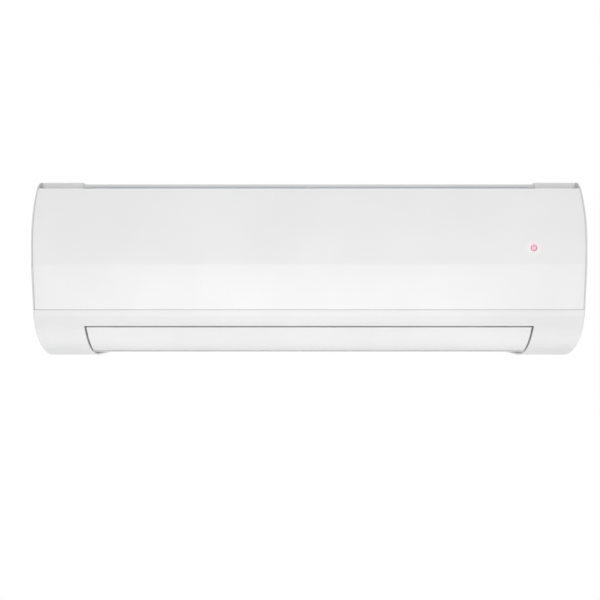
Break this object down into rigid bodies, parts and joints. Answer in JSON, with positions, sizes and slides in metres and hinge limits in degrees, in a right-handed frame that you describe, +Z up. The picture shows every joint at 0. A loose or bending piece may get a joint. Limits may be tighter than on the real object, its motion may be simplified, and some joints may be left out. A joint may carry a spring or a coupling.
{
  "type": "mini split indoor unit",
  "caption": "White wall-hung mini split indoor unit with a barrel-curved front panel, a closed louvre and a small pink power light.",
  "frame": {"origin": "middle of the wall plate's back face, at the middle of the unit's width and height", "axes": "+X along the unit's width, to the right seen from the room; +Y into the wall; +Z up"},
  "size_m": [0.845, 0.18, 0.275],
  "materials": {
    "casing_white": "satin",
    "panel_white": "gloss",
    "louvre_white": "satin",
    "inner_plastic": "matte",
    "vane_plastic": "matte",
    "dark_plastic": "matte",
    "fan_plastic": "satin",
    "filter_net": "fine net",
    "galvanised_steel": "zinc coated",
    "shaft_steel": "turned",
    "fin_aluminium": "mill",
    "pipe_copper": "drawn copper",
    "nut_brass": "machined",
    "board_green": "solder mask",
    "indicator_pink": "translucent",
    "bush_rubber": "matte"
  },
  "bodies": {
    "unit": {"wall_plate": "galvanised_steel", "rear_chassis": "inner_plastic", "front_casing": "casing_white", "intake_grille": "casing_white", "drain_tray": "inner_plastic", "coil_front_lower": "fin_aluminium", "coil_front_upper": "fin_aluminium", "coil_rear": "fin_aluminium", "gas_pipe": "pipe_copper", "liquid_pipe": "pipe_copper", "gas_flare_nut": "nut_brass", "liquid_flare_nut": "nut_brass", "pipe_clamp": "inner_plastic", "fan_motor": "galvanised_steel", "motor_clamp": "inner_plastic", "motor_screw_front": "galvanised_steel", "motor_screw_rear": "galvanised_steel", "fan_bearing": "nut_brass", "bearing_rubber": "bush_rubber", "louvre_support": "inner_plastic", "louvre_motor": "galvanised_steel", "control_box": "inner_plastic", "control_box_cover": "inner_plastic", "main_board": "board_green", "terminal_block": "dark_plastic", "capacitor": "dark_plastic", "relay": "galvanised_steel", "push_switch": "dark_plastic", "display_housing": "inner_plastic", "display_board": "board_green", "power_light": "indicator_pink", "remote_receiver": "dark_plastic", "casing_screw_left": "galvanised_steel", "casing_screw_right": "galvanised_steel", "screw_cap_left": "casing_white", "screw_cap_right": "casing_white"},
    "panel": {"front_panel": "panel_white", "indicator_lens": "indicator_pink", "hinge_arm_left": "panel_white", "hinge_arm_right": "panel_white"},
    "louvre_blade": {"louvre": "louvre_white"},
    "fan": {"fan_wheel": "fan_plastic", "motor_shaft": "shaft_steel"},
    "filter_left_body": {"filter_left": "filter_net"},
    "filter_right_body": {"filter_right": "filter_net"},
    "button": {"emergency_button": "inner_plastic"},
    "vane_left_1_body": {"vane_left_1": "vane_plastic"},
    "vane_left_2_body": {"vane_left_2": "vane_plastic"},
    "vane_left_3_body": {"vane_left_3": "vane_plastic"},
    "vane_left_4_body": {"vane_left_4": "vane_plastic"},
    "vane_left_5_body": {"vane_left_5": "vane_plastic"},
    "vane_link_left_body": {"vane_link_left": "vane_plastic"},
    "vane_right_1_body": {"vane_right_1": "vane_plastic"},
    "vane_right_2_body": {"vane_right_2": "vane_plastic"},
    "vane_right_3_body": {"vane_right_3": "vane_plastic"},
    "vane_right_4_body": {"vane_right_4": "vane_plastic"},
    "vane_right_5_body": {"vane_right_5": "vane_plastic"},
    "vane_link_right_body": {"vane_link_right": "vane_plastic"}
  },
  "joints": [
    {"name": "panel_hinge", "type": "hinge", "parent": "unit", "child": "panel", "pos_m": [0, -0.14941, 0.123], "axis": [-1, 0, 0], "range_deg": [0, 55]},
    {"name": "louvre_hinge", "type": "hinge", "parent": "unit", "child": "louvre_blade", "pos_m": [0, -0.13005, -0.109], "axis": [1, 0, 0], "range_deg": [0, 75]},
    {"name": "fan_spin", "type": "hinge", "parent": "unit", "child": "fan", "pos_m": [0, -0.084, -0.014], "axis": [1, 0, 0], "continuous": true},
    {"name": "filter_left_slide", "type": "slide", "parent": "unit", "child": "filter_left_body", "axis": [0, 0.0941, 0.9956], "range_m": [0, 0.15]},
    {"name": "filter_right_slide", "type": "slide", "parent": "unit", "child": "filter_right_body", "axis": [0, 0.0941, 0.9956], "range_m": [0, 0.15]},
    {"name": "emergency_button_press", "type": "slide", "parent": "unit", "child": "button", "axis": [0, 1, 0], "range_m": [0, 0.0015], "stiffness_N_per_m": 250},
    {"name": "vane_left_1_turn", "type": "hinge", "parent": "unit", "child": "vane_left_1_body", "pos_m": [-0.052, -0.0835, -0.09372], "axis": [0, -0.6832, 0.7303], "range_deg": [-25, 25]},
    {"name": "vane_left_2_turn", "type": "hinge", "parent": "unit", "child": "vane_left_2_body", "pos_m": [-0.114, -0.0835, -0.09372], "axis": [0, -0.6832, 0.7303], "range_deg": [-25, 25]},
    {"name": "vane_left_3_turn", "type": "hinge", "parent": "unit", "child": "vane_left_3_body", "pos_m": [-0.176, -0.0835, -0.09372], "axis": [0, -0.6832, 0.7303], "range_deg": [-25, 25]},
    {"name": "vane_left_4_turn", "type": "hinge", "parent": "unit", "child": "vane_left_4_body", "pos_m": [-0.238, -0.0835, -0.09372], "axis": [0, -0.6832, 0.7303], "range_deg": [-25, 25]},
    {"name": "vane_left_5_turn", "type": "hinge", "parent": "unit", "child": "vane_left_5_body", "pos_m": [-0.3, -0.0835, -0.09372], "axis": [0, -0.6832, 0.7303], "range_deg": [-25, 25]},
    {"name": "vane_link_left_slide", "type": "slide", "parent": "unit", "child": "vane_link_left_body", "axis": [1, 0, 0], "range_m": [-0.006, 0.006]},
    {"name": "vane_right_1_turn", "type": "hinge", "parent": "unit", "child": "vane_right_1_body", "pos_m": [0.052, -0.0835, -0.09372], "axis": [0, -0.6832, 0.7303], "range_deg": [-25, 25]},
    {"name": "vane_right_2_turn", "type": "hinge", "parent": "unit", "child": "vane_right_2_body", "pos_m": [0.114, -0.0835, -0.09372], "axis": [0, -0.6832, 0.7303], "range_deg": [-25, 25]},
    {"name": "vane_right_3_turn", "type": "hinge", "parent": "unit", "child": "vane_right_3_body", "pos_m": [0.176, -0.0835, -0.09372], "axis": [0, -0.6832, 0.7303], "range_deg": [-25, 25]},
    {"name": "vane_right_4_turn", "type": "hinge", "parent": "unit", "child": "vane_right_4_body", "pos_m": [0.238, -0.0835, -0.09372], "axis": [0, -0.6832, 0.7303], "range_deg": [-25, 25]},
    {"name": "vane_right_5_turn", "type": "hinge", "parent": "unit", "child": "vane_right_5_body", "pos_m": [0.3, -0.0835, -0.09372], "axis": [0, -0.6832, 0.7303], "range_deg": [-25, 25]},
    {"name": "vane_link_right_slide", "type": "slide", "parent": "unit", "child": "vane_link_right_body", "axis": [1, 0, 0], "range_m": [-0.006, 0.006]}
  ],
  "couplings": [
    {"joint": "vane_left_2_turn", "follows": "vane_left_1_turn", "ratio": 1},
    {"joint": "vane_left_3_turn", "follows": "vane_left_1_turn", "ratio": 1},
    {"joint": "vane_left_4_turn", "follows": "vane_left_1_turn", "ratio": 1},
    {"joint": "vane_left_5_turn", "follows": "vane_left_1_turn", "ratio": 1},
    {"joint": "vane_link_left_slide", "follows": "vane_left_1_turn", "m_per_rad": -0.012},
    {"joint": "vane_right_2_turn", "follows": "vane_right_1_turn", "ratio": 1},
    {"joint": "vane_right_3_turn", "follows": "vane_right_1_turn", "ratio": 1},
    {"joint": "vane_right_4_turn", "follows": "vane_right_1_turn", "ratio": 1},
    {"joint": "vane_right_5_turn", "follows": "vane_right_1_turn", "ratio": 1},
    {"joint": "vane_link_right_slide", "follows": "vane_right_1_turn", "m_per_rad": -0.012}
  ]
}
